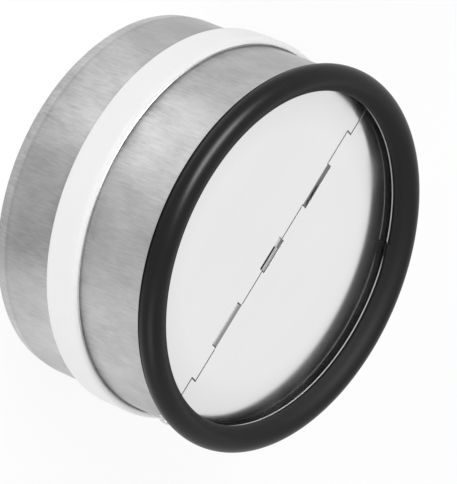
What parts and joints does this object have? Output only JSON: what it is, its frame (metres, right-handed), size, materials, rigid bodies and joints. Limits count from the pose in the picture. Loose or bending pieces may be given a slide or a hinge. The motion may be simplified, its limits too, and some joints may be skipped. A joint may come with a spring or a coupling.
{
  "type": "backdraft damper",
  "caption": "Round duct backdraft damper: metal sleeve with a rubber ring at the inlet and sprung half-round blades that let air through one way only.",
  "frame": {"origin": "centre of the bare rear rim, on the surface that the damper stands on", "axes": "+Z along the duct towards the rubber ring, +X along the spindle"},
  "size_m": [0.1556, 0.1556, 0.085],
  "materials": {
    "galvanised_sheet": "brushed galvanised sheet",
    "white_band": "satin white",
    "black_rubber": "smooth black rubber",
    "blade_aluminium": "bright rolled aluminium",
    "spindle_steel": "drawn steel rod",
    "cap_plating": "bright plated",
    "spring_steel": "spring wire"
  },
  "bodies": {
    "housing": {"sleeve": "galvanised_sheet", "white_band": "white_band", "ring_gasket": "black_rubber", "spindle": "spindle_steel", "left_spindle_cap": "cap_plating", "right_spindle_cap": "cap_plating", "torsion_spring": "spring_steel"},
    "left_blade_body": {"left_blade": "blade_aluminium"},
    "right_blade_body": {"right_blade": "blade_aluminium"}
  },
  "joints": [
    {"name": "left_blade_hinge", "type": "hinge", "parent": "housing", "child": "left_blade_body", "pos_m": [0, 0, 0.07155], "axis": [1, 0, 0], "range_deg": [0, 80], "stiffness_Nm_per_rad": 0.004, "springref_deg": -91.67, "deforming": ["torsion_spring"]},
    {"name": "right_blade_hinge", "type": "hinge", "parent": "housing", "child": "right_blade_body", "pos_m": [0, 0, 0.07155], "axis": [-1, 0, 0], "range_deg": [0, 80], "stiffness_Nm_per_rad": 0.004, "springref_deg": -91.67, "deforming": ["torsion_spring"]}
  ]
}
